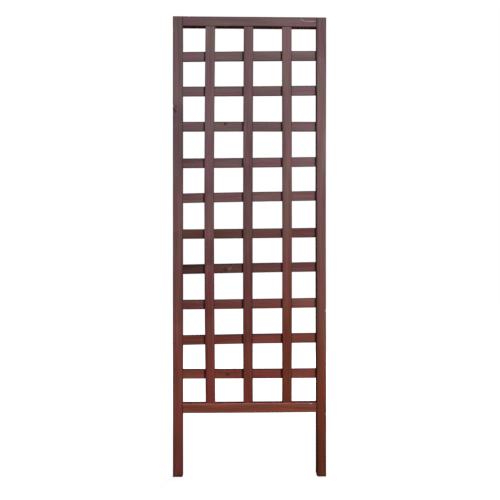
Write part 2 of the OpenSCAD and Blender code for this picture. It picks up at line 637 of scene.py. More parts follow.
    def build(self) -> bpy.types.Material:
        """Wires everything to the shader.

        Returns:
            The material.
        """
        finish = self.finish
        cores, bulge = self.knots()
        figure = self.figure(bulge)
        worn, scratched = self.worn(), self.scratches()
        ends = self.ease(self.size(self.facing[self.grain.along]), *self.END_SPAN)
        # aged: 0 for the red foot colour, 1 for the grey top colour with its painted sheen.
        aged = self.aged(figure)
        stain = self.blend(aged, finish.tone.fresh, finish.tone.weathered)
        hue = self.ease(self.cloud(self.spot, self.HUE_CLOUD), *self.HUE_SPAN)
        stain = self.tint(stain, self.blend(hue, self.RED_TINT, self.OLIVE_TINT))
        colour = self.shade(stain, self.most(self.value(figure, ends), self.DARKEST))
        # Knots, the painted edge highlight, bare wood and scratches go over the stain in turn.
        for amount, cover in ((cores, self.KNOT), (self.polish(), self.POLISH), (worn, self.BARE),
                              (scratched, self.SCRATCH)):
            if amount is not None:
                colour = self.blend(amount, colour, cover)
        if finish.damp_foot:
            rise = self.line(figure.fibre, finish.damp_foot, self.height)
            wet = self.ease(rise, *(share * finish.damp_foot for share in self.DAMP_SPAN))
            colour = self.shade(colour, self.line(wet, -self.DAMP_SHADE, 1.0))
        self.coat("Base Color", colour)
        rough = [self.times(signal, share)
                 for signal, share in zip((aged, figure.late, worn, ends), self.ROUGH_SHARES)]
        rough.append(self.swing(figure.fibre, self.ROUGH_FIBRE))
        self.coat("Roughness", self.total(self.ROUGHNESS, *rough))
        planed = self.ease(self.size(self.facing[Y]), *self.PLANED_SPAN)
        self.coat("Specular IOR Level", self.times(planed, self.SPECULAR))
        relief = [self.times(signal, share)
                  for signal, share in zip((figure.late, figure.fibre, worn), self.RELIEF_SHARES)]
        if cores is not None:
            relief.append(self.times(cores, self.RELIEF_KNOT))
        self.relief(self.total(*relief), self.RELIEF_HEIGHT, self.RELIEF_STRENGTH)
        return self.owner

    def knots(self) -> tuple[Signal | None, Signal | None]:
        """Lays the knots into the board.

        Returns:
            The knots' dark cores and how far they push the rings aside, if there are any.
        """
        if not self.finish.knots:
            return None, None
        cores, bulges = [], []
        waver = self.cloud(self.spot, self.KNOT_CLOUD)
        spike = self.times(self.total(self.deep, self.half_depth), 1 / self.KNOT_TAPER)
        for knot in self.finish.knots:
            offset = self.less(self.across, knot.offset)
            away = self.hypot(self.times(self.past(knot.run), self.KNOT_STRETCH), offset)
            reach = self.total(self.times(away, 1 / knot.radius), self.swing(waver, self.KNOT_WAVER), spike)
            bark = self.line(self.ease(reach, *self.BARK_SPAN), self.BARK_RISE, self.BARK_START)
            cores.append(self.times(self.ease(reach, *self.CORE_SPAN), bark, knot.depth))
            bulges.append(self.times(self.ease(reach, *self.BULGE_SPAN), self.KNOT_PUSH * knot.radius))
        return self.most(*cores), self.total(*bulges)

    def figure(self, bulge: Signal | None) -> Figure:
        """Grows the board's figure: rings round a pith beside the board, fibres, streaks and blotches.

        Args:
            bulge: How far knots push the rings aside, if there are any.

        Returns:
            The figure.
        """
        finish = self.finish
        rng = random.Random(finish.seed)
        pith_across = rng.choice((-1, 1)) * rng.uniform(*self.PITH_ACROSS) * MM
        pith_deep = rng.choice((-1, 1)) * rng.uniform(*self.PITH_DEEP) * MM
        drift = rng.choice((-1, 1)) * rng.uniform(*self.RING_DRIFT)
        bends = Cloud((*self.BEND_PACE, finish.waves), self.FIGURE_STRIDE, detail=self.BEND_DETAIL)
        waver = self.cloud(self.spot, bends)
        ring_across = self.total(self.across, self.swing(waver, 2 * finish.wander), -pith_across)
        ring_deep = self.less(self.deep, pith_deep)
        radius = self.total(self.hypot(ring_across, ring_deep), self.times(self.along, drift))
        if bulge is not None:
            radius = self.total(radius, bulge)
        season = self.cloud(self.vector(radius, 0.0, self.along), self.SEASON_CLOUD)
        rings = self.total(self.times(radius, 1 / finish.ring_pitch), self.swing(season, self.SEASON_SWING))
        phase = self.maths("FRACT", rings)
        late = self.less(self.ease(phase, *self.LATE_SPAN), self.ease(phase, *self.EARLY_SPAN))
        bent = self.vector(ring_across, self.deep, self.along)
        return Figure(
            late=self.times(late, self.ease(season, *self.SEASON_SPAN)),
            fibre=self.cloud(self.spot, self.FIBRE_CLOUD),
            streak=self.cloud(bent, self.STREAK_CLOUD),
            blotch=self.cloud(self.spot, self.BLOTCH_CLOUD),
        )

    def aged(self, figure: Figure) -> Signal:
        """Works out how far the stain turns from the red foot colour to the grey top colour, which is
        partly weathering and partly a painted sheen.

        Args:
            figure: The board's figure.

        Returns:
            0 for the foot colour and 1 for the top colour; undersides keep the darker foot colour, partly
            as painted shade.
        """
        grey = self.ease(self.total(
            self.height,
            -self.finish.shelter,
            self.swing(figure.blotch, self.AGED_BLOTCH),
            self.swing(figure.streak, self.AGED_STREAK),
        ), *self.AGED_SPAN)
        return self.times(grey, self.line(self.sheltered, -self.UNDERSIDE_FRESH, 1.0))

    def value(self, figure: Figure, ends: Signal) -> Signal:
        """Works out how light or dark the stain lies.

        Args:
            figure: The board's figure.
            ends: 1 on the sawn ends and 0 on the long faces.

        Returns:
            Factor on the stain's colour.
        """
        finish = self.finish
        late = self.LATE_SHADE * finish.contrast
        terms = [
            self.run_shade(),
            self.line(figure.late, -late, self.LATE_LIFT * late),
            self.swing(figure.fibre, self.FIBRE_SHADE),
            self.swing(figure.streak, self.STREAK_SHADE * finish.contrast),
            self.swing(figure.blotch, self.BLOTCH_SHADE),
            self.times(self.edges(), self.line(ends, self.EDGE_SHADE, -self.EDGE_SHADE)),
            self.times(ends, -self.END_SHADE),
            # Painted shade on faces that look down.
            self.times(self.sheltered, -self.SHELTER_SHADE),
        ]
        # Painted shade on the left or lower side, away from the light on the right.
        if finish.flank:
            flank = self.ease(self.across, 0.0, -self.half_width)
            terms.append(self.times(flank, self.ease(self.height, *self.FLANK_SPAN), -finish.flank))
        # Dirt and painted shade on the faces that look up and below the upper edge.
        if self.grain is Grain.ACROSS:
            terms.append(self.times(self.ledge(), -self.LEDGE_SHADE))
        for lap in finish.laps:
            reach = abs(lap.end - lap.start) / 2
            off = self.line(self.ragged, self.LAP_FADE, self.size(self.past((lap.start + lap.end) / 2)))
            terms.append(self.times(self.ease(off, reach + self.LAP_FADE, reach), -lap.depth))
        if finish.splash:
            terms.append(self.times(self.ease(self.height, *self.SPLASH_SPAN), -finish.splash))
        return self.total(*terms)

    def run_shade(self) -> Signal:
        """Shades the board from its low end to its high end, partly its own tone and partly a painted
        falloff of the light.

        Returns:
            The factor on its tone.
        """
        finish = self.finish
        if not finish.heart:
            return finish.strength
        return self.line(self.along, 0.5 * finish.heart * finish.strength / self.half_run, finish.strength)

    def edges(self) -> Signal:
        """Finds the long edges and the sawn ends, which are drawn darker.

        Returns:
            1 at the edges and 0 away from them.
        """
        beside = self.line(self.ragged, self.SIDE_FRAY, self.inset)
        from_end = self.line(self.ragged, self.TIP_FRAY, self.less(self.half_run, self.size(self.along)))
        return self.most(self.ease(beside, *self.SIDE_SPAN), self.ease(from_end, *self.TIP_SPAN))

    def ledge(self) -> Signal:
        """Finds the faces that look up, but for the panel's top face, and a line below the upper edge; both
        are drawn darker, partly as dirt and partly as painted shade.

        Returns:
            1 where the dirt and painted shade lie and 0 where there is none.
        """
        washed = self.ease(self.line(self.ragged, self.WASHED_FRAY, self.below()), *self.WASHED_SPAN)
        upward = self.ease(self.facing[Z], *self.UPWARD_SPAN)
        dirty = self.times(upward, self.ease(self.height, *self.CLEAN_SPAN))
        return self.most(dirty, self.times(self.less(washed, upward), self.WASHED_SHARE))

    def worn(self) -> Signal:
        """Finds where the wood is bare: rubbed corners and dents.

        Returns:
            1 on bare wood and 0 on stain.
        """
        patchy = self.cloud(self.spot, self.RUBBED_CLOUD)
        rubbed = self.times(self.ease(patchy, *self.RUBBED_SPAN), self.ease(self.inset, *self.CORNER_SPAN))
        dented = self.node("Attribute", attribute_name=Board.BARE_MARK).outputs["Fac"]
        torn = self.ease(self.line(self.ragged, self.TORN_FRAY, self.inset), *self.TORN_SPAN)
        return self.most(self.times(rubbed, self.RUBBED_SHARE), self.times(dented, torn, self.TORN_SHARE))

    def polish(self) -> Signal | None:
        """Finds the upper front edge, where a pale painted highlight stands for the light that the rounded
        edge catches.

        Returns:
            1 on the painted highlight and 0 elsewhere, if the board has one.
        """
        if not self.finish.bright_ledge:
            return None
        uneven = self.cloud(self.spot, self.POLISH_CLOUD)
        line = self.ease(self.line(uneven, self.POLISH_FRAY, self.below()), *self.POLISH_SPAN)
        front = self.times(self.ease(self.facing[Y], *self.POLISH_FRONT),
                           self.ease(self.deep, 0.0, -self.half_depth))
        return self.times(line, front, self.ease(uneven, *self.POLISH_PATCH))

    def scratches(self) -> Signal | None:
        """Draws the scuffs on the front of the board.

        Returns:
            1 on a scratch and 0 elsewhere, if the board has any.
        """
        marks = []
        for scuff in self.finish.scuffs:
            run, rise = scuff.end[0] - scuff.start[0], scuff.end[1] - scuff.start[1]
            length = math.hypot(run, rise)
            from_run, from_rise = self.past(scuff.start[0]), self.less(self.across, scuff.start[1])
            down = self.total(self.times(from_run, run / length), self.times(from_rise, rise / length))
            beside = self.total(self.times(from_run, -rise / length), self.times(from_rise, run / length))
            reach = self.hypot(self.times(beside, 1 / scuff.width), self.line(down, 2 / length, -1.0))
            lines = self.cloud(self.vector(beside, 0.0, down), self.SCRATCH_CLOUD)
            marks.append(self.times(self.ease(reach, *self.SCRATCH_REACH),
                                    self.ease(lines, *self.SCRATCH_SPAN), scuff.depth))
        if not marks:
            return None
        return self.times(self.most(*marks), self.ease(self.facing[Y], *self.SCRATCH_FRONT))


@dataclass(frozen=True)
class ZincSteel:
    """Dull zinc on steel fasteners, with some brown bloom.

    Attributes:
        seed: Number that sets this set's marks apart.
    """

    seed: int

    BRIGHT = stain_colour(186, 188, 190)
    DULL = stain_colour(126, 128, 131)
    BLOOM = stain_colour(104, 72, 52)
    SPANGLE_CLOUD = Cloud((900, 900, 900), detail=2.0)
    SPANGLE_SPAN = (0.35, 0.65)
    BLOOM_CLOUD = Cloud((160, 160, 160), start=2.5)
    BLOOM_SPAN = (0.54, 0.70)
    BLOOM_SHARE = 0.7
    METALLIC = 0.85
    ROUGHNESS = 0.34
    ROUGH_SPANGLE = 0.16
    ROUGH_BLOOM = 0.35
    RELIEF_HEIGHT = 0.05 * MM
    RELIEF_STRENGTH = 0.4

    def material(self, name: str) -> bpy.types.Material:
        """Makes the zinc for one set of fasteners.

        Args:
            name: Name of the material.

        Returns:
            The material.
        """
        paint = Paint(name, self.seed)
        spot = paint.node("TexCoord").outputs["Object"]
        spangle = paint.cloud(spot, self.SPANGLE_CLOUD)
        patch = paint.cloud(spot, self.BLOOM_CLOUD)
        zinc = paint.blend(paint.ease(spangle, *self.SPANGLE_SPAN), self.DULL, self.BRIGHT)
        bloom = paint.times(paint.ease(patch, *self.BLOOM_SPAN), self.BLOOM_SHARE)
        paint.coat("Base Color", paint.blend(bloom, zinc, self.BLOOM))
        paint.coat("Metallic", self.METALLIC)
        paint.coat("Roughness", paint.total(self.ROUGHNESS, paint.times(spangle, self.ROUGH_SPANGLE),
                                            paint.times(bloom, self.ROUGH_BLOOM)))
        paint.relief(spangle, self.RELIEF_HEIGHT, self.RELIEF_STRENGTH)
        return paint.owner


def on(value: float, *levels: float) -> bool:
    """Tells if a value lies on one of some levels."""
    return any(abs(value - level) < NEAR for level in levels)


def picked(made: Iterable[Vert | Edge | Face], kind: type) -> list[Vert | Edge | Face]:
    """Picks the items of one kind from what an operator made."""
    return [item for item in made if isinstance(item, kind)]


def new_piece(bm: Shape, name: str, node: str, material: bpy.types.Material) -> Piece:
    """Turns a finished bmesh into a piece that stands for a CAD node.

    Args:
        bm: Finished shape, which is freed.
        name: Name of the piece.
        node: CAD node that it stands for.
        material: Its material.

    Returns:
        The piece.
    """
    bmesh.ops.recalc_face_normals(bm, faces=bm.faces)
    for face in bm.faces:
        face.smooth = True
    for edge in bm.edges:
        edge.smooth = len(edge.link_faces) == 2 and edge.calc_face_angle(0.0) < SHARP_ANGLE
    mesh = bpy.data.meshes.new(name)
    bm.to_mesh(mesh)
    bm.free()
    mesh.materials.append(material)
    piece = bpy.data.objects.new(name, mesh)
    bpy.context.scene.collection.objects.link(piece)
    weighted = piece.modifiers.new("true_faces", "WEIGHTED_NORMAL")
    weighted.keep_sharp = True
    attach(piece, BODY)
    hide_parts(node)
    return piece


def add_block(bm: Shape, centre: Sequence[float], size: Sequence[float]) -> None:
    """Adds a plain block to a shape."""
    place = Matrix.Translation(centre) @ Matrix.Diagonal((*size, 1.0))
    bmesh.ops.create_cube(bm, size=1.0, matrix=place)


def round_off(bm: Shape, edges: list[Edge], radius: float, steps: int) -> None:
    """Rounds some edges of a shape in a number of steps."""
    bmesh.ops.bevel(bm, geom=edges, offset=radius, offset_type="OFFSET", affect="EDGES",
                    segments=steps, profile=0.5, material=-1, clamp_overlap=True)


def score(bm: Shape, faces: Iterable[Face], axis: int, level: float) -> None:
    """Scores a line across some faces, square to an axis.

    Args:
        bm: Shape to work on.
        faces: Faces that take the line.
        axis: Axis that the line is square to.
        level: Place of the line on that axis.
    """
    faces = list(faces)
    edges = {edge for face in faces for edge in face.edges}
    verts = {vert for face in faces for vert in face.verts}
    bmesh.ops.bisect_plane(bm, geom=[*verts, *edges, *faces], dist=CUT_REACH,
                           plane_co=AXES[axis] * level, plane_no=AXES[axis])


def flat_faces(bm: Shape, axis: int, level: float, window: dict[int, Span] | None = None) -> list[Face]:
    """Finds the faces that lie in a plane and inside a window on it.

    Args:
        bm: Shape to search.
        axis: Axis that the plane is square to.
        level: Place of the plane on that axis.
        window: Lowest and highest value of a face's middle on other axes.

    Returns:
        The faces.
    """
    found = []
    for face in bm.faces:
        middle = face.calc_center_median()
        if all(on(vert.co[axis], level) for vert in face.verts) and all(
                low < middle[other] < high for other, (low, high) in (window or {}).items()):
            found.append(face)
    return found


def push_faces(bm: Shape, faces: list[Face], move: Vector) -> None:
    """Pushes faces in or out of a shape, with walls round them.

    Args:
        bm: Shape to work on.
        faces: Faces to push.
        move: Distance and direction.
    """
    made = bmesh.ops.extrude_face_region(bm, geom=faces)["geom"]
    bmesh.ops.translate(bm, verts=picked(made, Vert), vec=move)
    left = [face for face in faces if face.is_valid]
    if left:
        bmesh.ops.delete(bm, geom=left, context="FACES")


def repeated(single: Shape, places: Iterable[Matrix]) -> Shape:
    """Sets copies of a shape at some places.

    Args:
        single: Shape to copy, which is freed.
        places: Place and turn of each copy.

    Returns:
        All copies as one shape.
    """
    pattern = bpy.data.meshes.new("pattern")
    single.to_mesh(pattern)
    single.free()
    bm = bmesh.new()
    for place in places:
        before = len(bm.verts)
        bm.from_mesh(pattern)
        bm.verts.ensure_lookup_table()
        bmesh.ops.transform(bm, matrix=place, verts=bm.verts[before:])
    bpy.data.meshes.remove(pattern)
    return bm


@dataclass
class Board:
    """Planed board with rounded long edges, eased ends and the small bends of real wood.

    Attributes:
        node: CAD node that it stands for.
        slot: Slot name of its finish; not used.
        grain: Way that its grain runs.
        finish: Its stain.
        edge_radius: Radius on its long edges.
        bow: Sideways bend at the middle of its length.
        ends: How far across its place its low or left end lies, and its other end.
        nicks: Dents in its long edges.
        station: Distance between the cuts at which it bends.
        end_ease: Radius on the edges of its sawn ends.
        rub: How far wear has taken its long edges back at most.
        nick_reach: Width of the strip beside a long edge that a dent bends.
    """

    node: str
    slot: str
    grain: Grain
    finish: StainedWood
    edge_radius: float
    bow: float = 0.0
    ends: Span = (0.0, 0.0)
    nicks: tuple[Nick, ...] = ()
    station: float = 55 * MM
    end_ease: float = 0.7 * MM
    rub: float = 0.45 * MM
    nick_reach: float = 9.0 * MM

    BARE_MARK = "bare"
    STRAIGHT_MARK = "straight"
    EDGE_STEPS = 4
    END_STEPS = 2
    END_ANGLE = math.radians(60)
    CORNER_REACH = 1.05
    RUB_PACE = (21, 7.7, 3.1)
    NICK_CUTS = (-0.5, -0.3, -0.1, 0.1, 0.3, 0.5)
    NICK_STEEPNESS = 1.6

    def __post_init__(self) -> None:
        """Reads the board's space from the frame."""
        self.box = Box.of(self.node)

    def block(self) -> Shape:
        """Starts the board as a plain block that fills its space.

        Returns:
            The block.
        """
        bm = bmesh.new()
        add_block(bm, self.box.centre, self.box.size)
        return bm

    def long_edges(self, bm: Shape) -> list[Edge]:
        """Finds the edges at the four corners of the board's section.

        Args:
            bm: Shape to search.

        Returns:
            The edges.
        """
        along, low, high = self.grain.along, self.box.low, self.box.high
        return [edge for edge in bm.edges
                if not on(edge.verts[0].co[along], edge.verts[1].co[along])
                and all(on(vert.co[axis], low[axis], high[axis])
                        for vert in edge.verts for axis in (self.grain.across, Y))]

    def round_edges(self, bm: Shape) -> None:
        """Rounds the long edges, then eases the sawn ends.

        Args:
            bm: Shape to work on.
        """
        round_off(bm, self.long_edges(bm), self.edge_radius, self.EDGE_STEPS)
        along = self.grain.along
        ends = []
        for level in (self.box.low[along], self.box.high[along]):
            ends += [edge for edge in bm.edges if len(edge.link_faces) == 2
                     and all(on(vert.co[along], level) for vert in edge.verts)
                     and edge.calc_face_angle(0.0) > self.END_ANGLE]
        round_off(bm, ends, self.end_ease, self.END_STEPS)

    def joinery(self, bm: Shape) -> None:
        """Cuts what joins the board to its neighbours; a plain board has none."""

    def kept_whole(self) -> list[Span]:
        """Lists the stretches of the length that no station cuts."""
        return []

    def stations(self, bm: Shape) -> None:
        """Cuts the board into short lengths, so that it can bend and take dents.

        Args:
            bm: Shape to work on.
        """
        along = self.grain.along
        low, high = self.box.low[along], self.box.high[along]
        count = max(2, round((high - low) / self.station))
        levels = [low + (high - low) * step / count for step in range(1, count)]
        for nick in self.nicks:
            levels += [nick.run + share * nick.length for share in self.NICK_CUTS]
        for level in levels:
            if not any(start < level < end for start, end in self.kept_whole()):
                score(bm, bm.faces, along, level)
        for nick in self.nicks:
            self.fence(bm, nick)

    def fence(self, bm: Shape, nick: Nick) -> None:
        """Parts the surroundings of a dent from the rest of the faces, which stay flat.

        Args:
            bm: Shape to work on.
            nick: The dent.
        """
        for axis, sign in zip((self.grain.across, Y), nick.edge):
            corner = self.box.high[axis] if sign > 0 else self.box.low[axis]
            beside = [face for face in bm.faces
                      if abs(face.calc_center_median()[self.grain.along] - nick.run) < nick.length / 2]
            score(bm, beside, axis, corner - sign * self.nick_reach)

    def weather(self, bm: Shape) -> None:
        """Bends the board, rubs and dents its edges, and keeps each point's place on the straight board.

        Args:
            bm: Shape to work on.
        """
        along, across = self.grain.along, self.grain.across
        bare = bm.verts.layers.float.new(self.BARE_MARK)
        straight = bm.verts.layers.float_vector.new(self.STRAIGHT_MARK)
        centre, half = self.box.centre, self.box.size / 2
        reach = self.CORNER_REACH * self.edge_radius
        run_pace, width_pace, depth_pace = self.RUB_PACE
        for vert in bm.verts:
            vert[straight] = vert.co
            run, offset = vert.co[along], vert.co - centre
            if all(abs(offset[axis]) > half[axis] - reach for axis in (across, Y)):
                corner = tuple(1 if offset[axis] > 0 else -1 for axis in (across, Y))
                inward = Vector((0, 0, 0))
                inward[across], inward[Y] = -corner[0], -corner[1]
                wave = noise.noise(Vector((
                    run_pace * run, width_pace * corner[0] + self.finish.seed, depth_pace * corner[1])))
                vert.co += inward * self.rub * max(0.0, wave)
                for nick in self.nicks:
                    closeness = 1 - abs(run - nick.run) / (0.5 * nick.length)
                    if corner == nick.edge and closeness > 0:
                        share = min(1.0, self.NICK_STEEPNESS * closeness)
                        vert.co += inward * nick.depth * share / math.sqrt(2)
                        vert[bare] = share
            vert.co[across] += self.stray(run)

    def share(self, run: float) -> float:
        """Says what share of the board's length lies before a place along it."""
        along = self.grain.along
        return (run - self.box.low[along]) / self.box.size[along]

    def stray(self, run: float) -> float:
        """Says how far across its place the bent and tilted board lies at a place along it."""
        return self.bow * self.bend(run) + self.ends[0] + (self.ends[1] - self.ends[0]) * self.share(run)

    def bend(self, run: float) -> float:
        """Says how much of the bow a place along the board has, from 0 at its ends to 1 in its middle."""
        return math.sin(math.pi * min(1.0, max(0.0, self.share(run))))

    def build(self) -> Piece:
        """Makes the board, shape and stain.

        Returns:
            The piece.
        """
        bm = self.block()
        self.round_edges(bm)
        self.joinery(bm)
        self.stations(bm)
        self.weather(bm)
        material = self.finish.material(f"stain_{self.node}", self.box, self.grain)
        return new_piece(bm, f"{self.node}_board", self.node, material)


class ScrewRow(Enum):
    """Row of screws, by the rail that it holds."""

    BOTTOM = "bottom_rail"
    TOP = "top_rail"

    @property
    def node(self) -> str:
        """Node of the row's screws."""
        return f"{self.value}_screws"

    def places(self, side: Side) -> list[Vector]:
        """Finds the middles of one corner's two screw heads.

        Args:
            side: Side of the panel.

        Returns:
            The two middles, front one first.
        """
        box = Box.of(self.node)
        x = box.high[X] if side is Side.RIGHT else box.low[X]
        return [Vector((x, box.low[Y] + HEAD_RADIUS, box.low[Z] + HEAD_RADIUS)),
                Vector((x, box.high[Y] - HEAD_RADIUS, box.high[Z] - HEAD_RADIUS))]


@dataclass
class Stile(Board):
    """Full-height side board, grooved for the cross slats and bored for the rails' screws.

    Attributes:
        side: Side of the panel that it stands on.
        foot_chip: Length of the corner broken off the inner side of the foot.
        short: How far below its place its top is sawn off.
        groove_play: Room in the groove in front of the slats and behind them.
        groove_run: How far the groove runs on past the first and the last slat.
        end_play: Room in the groove beyond the slats' ends.
        seat_square: Half the side of the square that a screw seat is cut from.
        seat_reach: Height kept whole above and below a corner's screws.
        seat_sides: Sides of a seat's rings.
        seat_steps: Radius and depth of a seat's rings, from its rim to the end of the bore.
    """

    side: Side = Side.LEFT
    foot_chip: float = 0.0
    short: float = 0.0
    groove_play: float = 0.2 * MM
    groove_run: float = 13.2 * MM
    end_play: float = 0.5 * MM
    seat_square: float = 5.2 * MM
    seat_reach: float = 10.0 * MM
    seat_sides: int = 16
    seat_steps: tuple[Span, ...] = ((4.55 * MM, 0.5 * MM), (2.3 * MM, 2.8 * MM), (2.3 * MM, 37.0 * MM))

    GROOVE_ROUND = 0.48
    GROOVE_STEPS = 6
    CHIP_LEAN = 0.12
    CHIP_ROOM = 1.5

    def __post_init__(self) -> None:
        """Reads the spaces of the board, the slats and the rails from the frame."""
        super().__post_init__()
        self.box.high[Z] -= self.short
        self.lowest, self.highest = Box.of("cross_slat_01"), Box.of(f"cross_slat_{CROSS_COUNT:02d}")
        self.sill, self.lintel = Box.of("bottom_rail").high[Z], Box.of("top_rail").low[Z]
        sides = self.box.low[X], self.box.high[X]
        self.outer, self.inner = sides if self.side is Side.LEFT else sides[::-1]

    def joinery(self, bm: Shape) -> None:
        """Cuts the stopped groove and the four screw seats, and breaks the chip off the foot.

        Args:
            bm: Shape to work on.
        """
        self.groove(bm)
        for row in ScrewRow:
            self.seats(bm, row)
        if self.foot_chip:
            self.chip(bm)

    def groove(self, bm: Shape) -> None:
        """Cuts the round-ended groove that takes the ends of the cross slats.

        Args:
            bm: Shape to work on.
        """
        depth = (self.lowest.low[Y] - self.groove_play, self.lowest.high[Y] + self.groove_play)
        run = (self.lowest.low[Z] - self.groove_run, self.highest.high[Z] + self.groove_run)
        reach = self.lowest.high[X] if self.side is Side.RIGHT else self.lowest.low[X]
        floor = reach + self.side.value * self.end_play
        for level in run:
            score(bm, flat_faces(bm, X, self.inner), Z, level)
        for level in depth:
            score(bm, flat_faces(bm, X, self.inner, {Z: run}), Y, level)
        patch = flat_faces(bm, X, self.inner, {Z: run, Y: depth})
        push_faces(bm, patch, Vector((floor - self.inner, 0, 0)))
        corners = [edge for edge in bm.edges if not on(edge.verts[0].co.x, edge.verts[1].co.x)
                   and all(on(vert.co.y, *depth) and on(vert.co.z, *run) for vert in edge.verts)]
        round_off(bm, corners, self.GROOVE_ROUND * (depth[1] - depth[0]), self.GROOVE_STEPS)

    def seat_band(self, row: ScrewRow) -> Span:
        """Finds the stretch of the height that a row's two screw seats take up."""
        heights = [place.z for place in row.places(self.side)]
        return min(heights) - self.seat_reach, max(heights) + self.seat_reach

    def seats(self, bm: Shape, row: ScrewRow) -> None:
        """Sinks the seats of one corner's two screws into the outer face.

        Args:
            bm: Shape to work on.
            row: Which rail's screws they are.
        """
        band = {Z: self.seat_band(row)}
        for level in band[Z]:
            score(bm, flat_faces(bm, X, self.outer), Z, level)
        score(bm, flat_faces(bm, X, self.outer, band), Y, 0.0)
        for place in row.places(self.side):
            strip = {**band, Y: (-FAR, 0.0) if place.y < 0 else (0.0, FAR)}
            square = {axis: (place[axis] - self.seat_square, place[axis] + self.seat_square)
                      for axis in (Y, Z)}
            for level in square[Z]:
                score(bm, flat_faces(bm, X, self.outer, strip), Z, level)
            for level in square[Y]:
                score(bm, flat_faces(bm, X, self.outer, {**strip, Z: square[Z]}), Y, level)
            self.sink(bm, flat_faces(bm, X, self.outer, square)[0], place)

    def sink(self, bm: Shape, patch: Face, place: Vector) -> None:
        """Turns a square patch into a round countersunk seat.

        Args:
            bm: Shape to work on.
            patch: Square face round the seat.
            place: Middle of the seat.
        """
        rim = list(patch.edges)
        bmesh.ops.delete(bm, geom=[patch], context="FACES_ONLY")
        bmesh.ops.subdivide_edges(bm, edges=rim, cuts=self.seat_sides // len(rim) - 1)
        square = [edge for edge in bm.edges if edge.is_boundary]
        spot = Matrix.Translation((self.outer, place.y, place.z)) @ Matrix.Rotation(QUARTER_TURN, 4, "Y")
        ring = bmesh.ops.create_circle(bm, cap_ends=False, segments=self.seat_sides,
                                       radius=self.seat_steps[0][0], matrix=spot)["verts"]
        circle = list({edge for vert in ring for edge in vert.link_edges})
        bmesh.ops.bridge_loops(bm, edges=square + circle)
        for radius, depth in self.seat_steps:
            made = bmesh.ops.extrude_edge_only(bm, edges=circle)["geom"]
            ring = picked(made, Vert)
            circle = [edge for edge in picked(made, Edge) if all(vert in ring for vert in edge.verts)]
            level = self.outer - self.side.value * depth
            for vert in ring:
                arm = Vector((0, vert.co.y - place.y, vert.co.z - place.z)).normalized() * radius
                vert.co = Vector((level, place.y, place.z)) + arm
        bmesh.ops.edgeloop_fill(bm, edges=circle)

    def chip(self, bm: Shape) -> None:
        """Breaks a corner off the inner side of the foot.

        Args:
            bm: Shape to work on.
        """
        out = Vector((-self.side.value, self.CHIP_LEAN, -1.0)).normalized()
        corner = Vector((self.inner + self.side.value * self.foot_chip, 0, self.box.low[Z]))
        cut = bmesh.ops.bisect_plane(bm, geom=[*bm.verts, *bm.edges, *bm.faces], dist=CUT_REACH,
                                     plane_co=corner, plane_no=out, clear_outer=True)["geom_cut"]
        bmesh.ops.edgeloop_fill(bm, edges=picked(cut, Edge))

    def kept_whole(self) -> list[Span]:
        """Lists the stretches round the screw seats and the chip."""
        foot = self.box.low[Z]
        return [*map(self.seat_band, ScrewRow), (foot, foot + self.CHIP_ROOM * self.foot_chip)]

    def bend(self, run: float) -> float:
        """Says how much of the bow a height has: none at the rails, most between them."""
        share = min(1.0, max(0.0, (run - self.sill) / (self.lintel - self.sill)))
        return math.sin(math.pi * share) ** 2


@dataclass
class Rail(Board):
    """Short board between the stiles, with a groove along one edge for the uprights' tongues.

    Attributes:
        groove_up: True where the grooved edge looks up.
        tongue: Thickness of the tongues.
        play: Room in the groove in front of them and behind them.
        end_play: Room in the groove beyond their ends.
    """

    groove_up: bool = False
    tongue: float = TONGUE
    play: float = 0.2 * MM
    end_play: float = 0.5 * MM

    def block(self) -> Shape:
        """Starts the rail as its grooved section, drawn out to its length.

        Returns:
            The block.
        """
        upright = Box.of("upright_slat_1")
        back = upright.high[Y] + self.play
        front = upright.high[Y] - self.tongue - self.play
        low, high = self.box.low, self.box.high
        lip, far = (high[Z], low[Z]) if self.groove_up else (low[Z], high[Z])
        floor = upright.low[Z] - self.end_play if self.groove_up else upright.high[Z] + self.end_play
        outline = [(low[Y], far), (low[Y], lip), (front, lip), (front, floor),
                   (back, floor), (back, lip), (high[Y], lip), (high[Y], far)]
        bm = bmesh.new()
        section = bm.faces.new([bm.verts.new((low[X], y, z)) for y, z in outline])
        made = bmesh.ops.extrude_face_region(bm, geom=[section], use_keep_orig=True)["geom"]
        bmesh.ops.translate(bm, verts=picked(made, Vert), vec=Vector((high[X] - low[X], 0, 0)))
        bmesh.ops.recalc_face_normals(bm, faces=bm.faces)
        return bm


@dataclass
class UprightSlat(Board):
    """Upright slat with a tongue at each end, behind a front shoulder.

    Attributes:
        seats: How far above their places the bottom and the top rail lie at this slat.
        tongue: Thickness of its tongues.
    """

    seats: Span = (0.0, 0.0)
    tongue: float = TONGUE

    def __post_init__(self) -> None:
        """Reads the slat's space from the frame and fits it to the rails."""
        super().__post_init__()
        self.box.low[Z] += self.seats[0]
        self.box.high[Z] += self.seats[1]

    def block(self) -> Shape:
        """Starts the slat from shoulder to shoulder and draws its tongues out.

        Returns:
            The block.
        """
        sill = Box.of("bottom_rail").high[Z] + self.seats[0]
        lintel = Box.of("top_rail").low[Z] + self.seats[1]
        size, centre = self.box.size, self.box.centre
        size[Z], centre[Z] = lintel - sill, (lintel + sill) / 2
        bm = bmesh.new()
        add_block(bm, centre, size)
        front = self.box.high[Y] - self.tongue
        for level, tip in ((sill, self.box.low[Z]), (lintel, self.box.high[Z])):
            score(bm, flat_faces(bm, Z, level), Y, front)
            push_faces(bm, flat_faces(bm, Z, level, {Y: (front, FAR)}), Vector((0, 0, tip - level)))
        return bm


@dataclass
class CrossSlat(Board):
    """Plain slat across the panel, with its ends in the stiles' grooves."""


